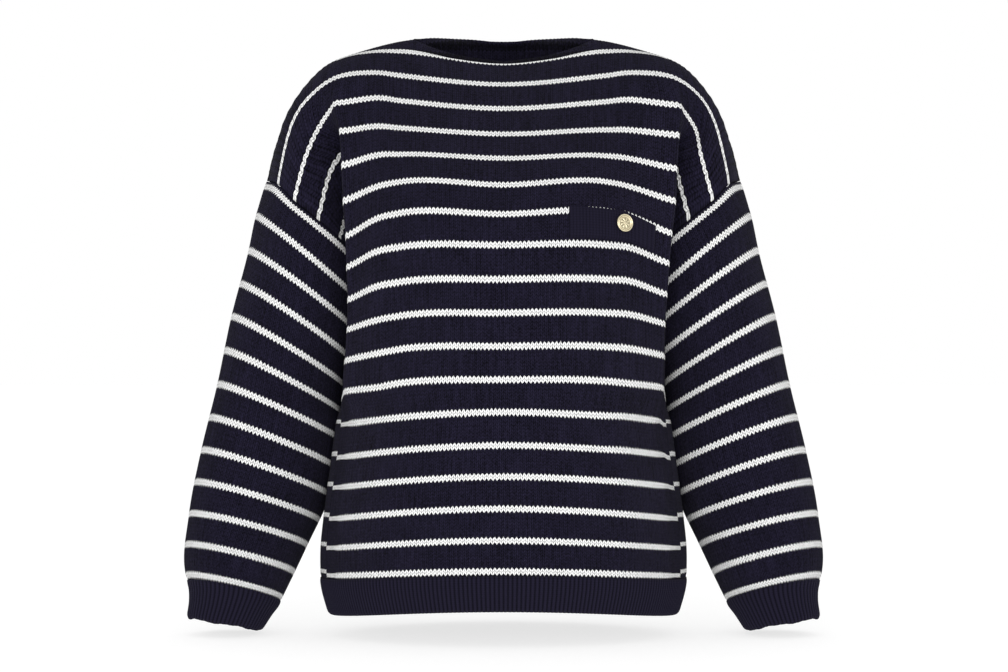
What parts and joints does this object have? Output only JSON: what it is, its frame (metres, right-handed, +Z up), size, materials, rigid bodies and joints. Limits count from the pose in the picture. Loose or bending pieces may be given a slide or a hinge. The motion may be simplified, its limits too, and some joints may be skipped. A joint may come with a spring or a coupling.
{
  "type": "striped jumper",
  "caption": "Long-sleeved boat-neck knitted jumper with narrow stripes, ribbed cuffs and hem, and a buttoned pocket band, filled out hollow as if worn.",
  "frame": {"origin": "on the middle plane, where the wearer's shoulders hold the jumper, level with the collar line", "axes": "+X across the front to the picture's right, +Y to the back, +Z up; the front faces -Y"},
  "size_m": [0.6756, 0.2718, 0.6374],
  "materials": {
    "navy_knit": "matte cotton stockinette with off-white stripes",
    "navy_rib": "matte cotton rib",
    "button_brass": "satin pale gold"
  },
  "bodies": {
    "root": {"front_panel": "navy_knit", "back_panel": "navy_knit", "sleeve_left": "navy_knit", "sleeve_right": "navy_knit", "cuff_left": "navy_rib", "cuff_right": "navy_rib", "hem_rib_front": "navy_rib", "hem_rib_back": "navy_rib", "pocket_band": "navy_rib", "button": "button_brass"}
  },
  "joints": []
}
